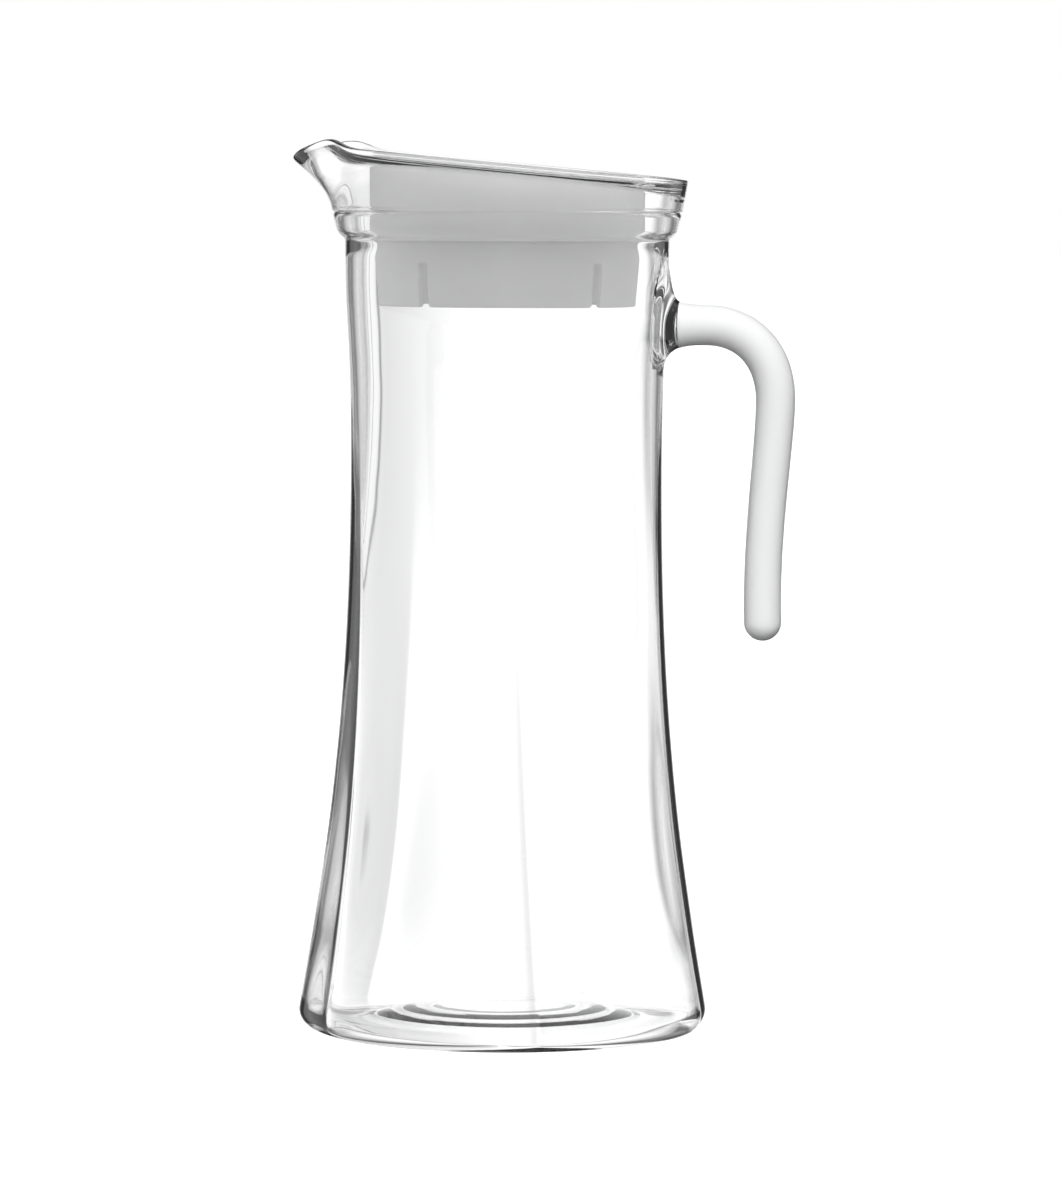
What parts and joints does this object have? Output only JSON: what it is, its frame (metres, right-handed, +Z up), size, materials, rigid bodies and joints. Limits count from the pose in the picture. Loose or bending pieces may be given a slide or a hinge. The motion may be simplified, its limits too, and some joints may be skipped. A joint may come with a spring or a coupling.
{
  "type": "water jug",
  "caption": "Tall clear glass water jug with a soft lobed side, pouring spout, satin glass handle and a slanted plug lid that lifts out.",
  "frame": {"origin": "on the jug's axis at the plane it stands on", "axes": "+Z up along the jug's axis, +X towards the handle, the spout at -X"},
  "size_m": [0.1517, 0.1234, 0.2663],
  "materials": {
    "clear_glass": "clear polished",
    "clear_glass_root": "clear polished",
    "satin_glass": "frosted satin",
    "lid_plastic": "satin moulded, slightly translucent",
    "plug_plastic": "satin moulded, slightly translucent"
  },
  "bodies": {
    "jug": {"glass_body": "clear_glass", "handle_root": "clear_glass_root", "handle_grip": "satin_glass"},
    "lid": {"lid_cap": "lid_plastic", "lid_plug": "plug_plastic"}
  },
  "joints": [
    {"name": "lid_lift", "type": "slide", "parent": "jug", "child": "lid", "axis": [0, 0, 1], "range_m": [0, 0.06]}
  ]
}
